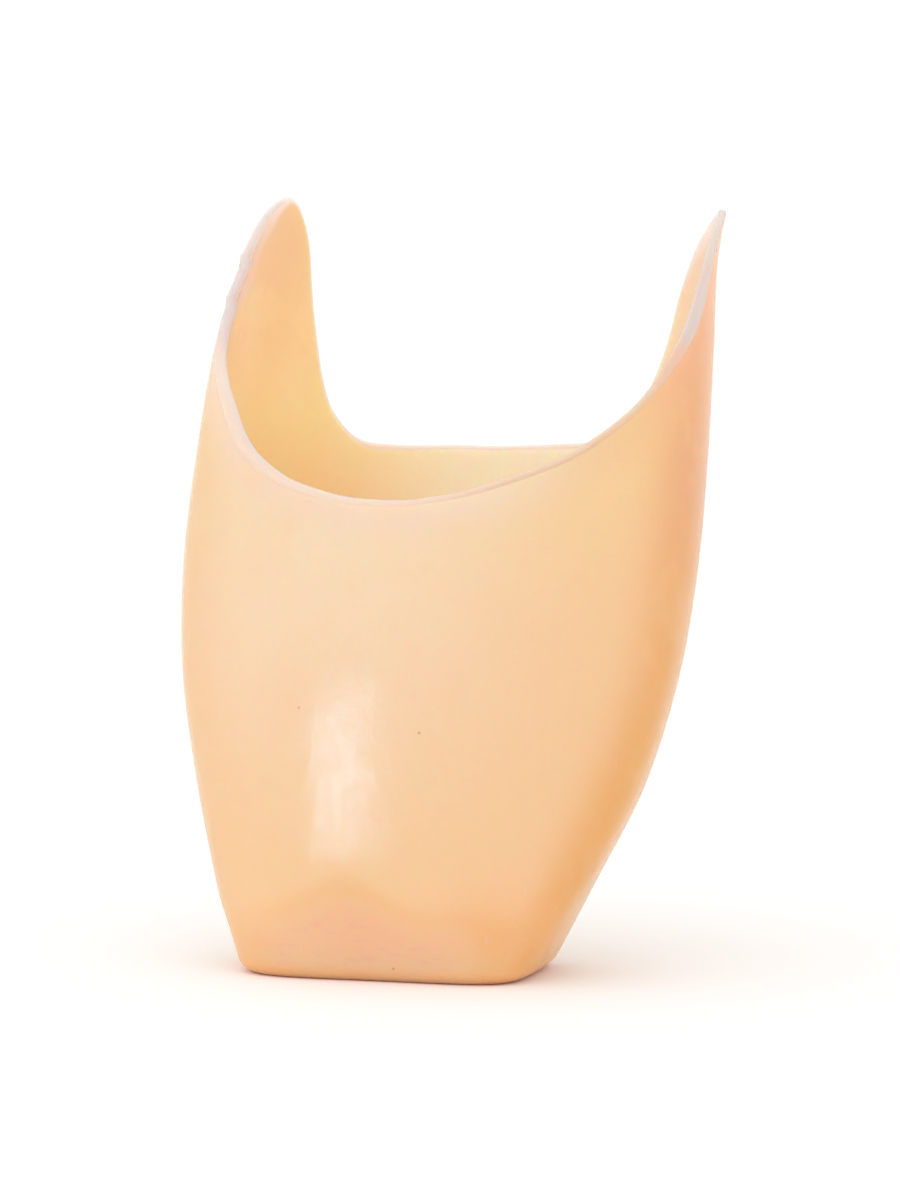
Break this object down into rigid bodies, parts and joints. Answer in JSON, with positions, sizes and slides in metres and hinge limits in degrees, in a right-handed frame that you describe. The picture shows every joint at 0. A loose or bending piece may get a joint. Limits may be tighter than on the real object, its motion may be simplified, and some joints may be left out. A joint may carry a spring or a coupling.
{
  "type": "pointe shoe toe pad",
  "caption": "Soft moulded gel pouch that cushions the toes inside a pointe shoe: an open hollow on a flat toe platform, scooped low at front and back, with an ear rising at each side.",
  "frame": {"origin": "middle of the flat toe platform that the pad stands on", "axes": "+Z from the platform up to the mouth, -Y towards the lower scoop at the front, +X to the right seen from the front"},
  "size_m": [0.0738, 0.0452, 0.1037],
  "materials": {
    "gel": "soft satin translucent gel"
  },
  "bodies": {
    "root": {"gel_pouch": "gel"}
  },
  "joints": []
}
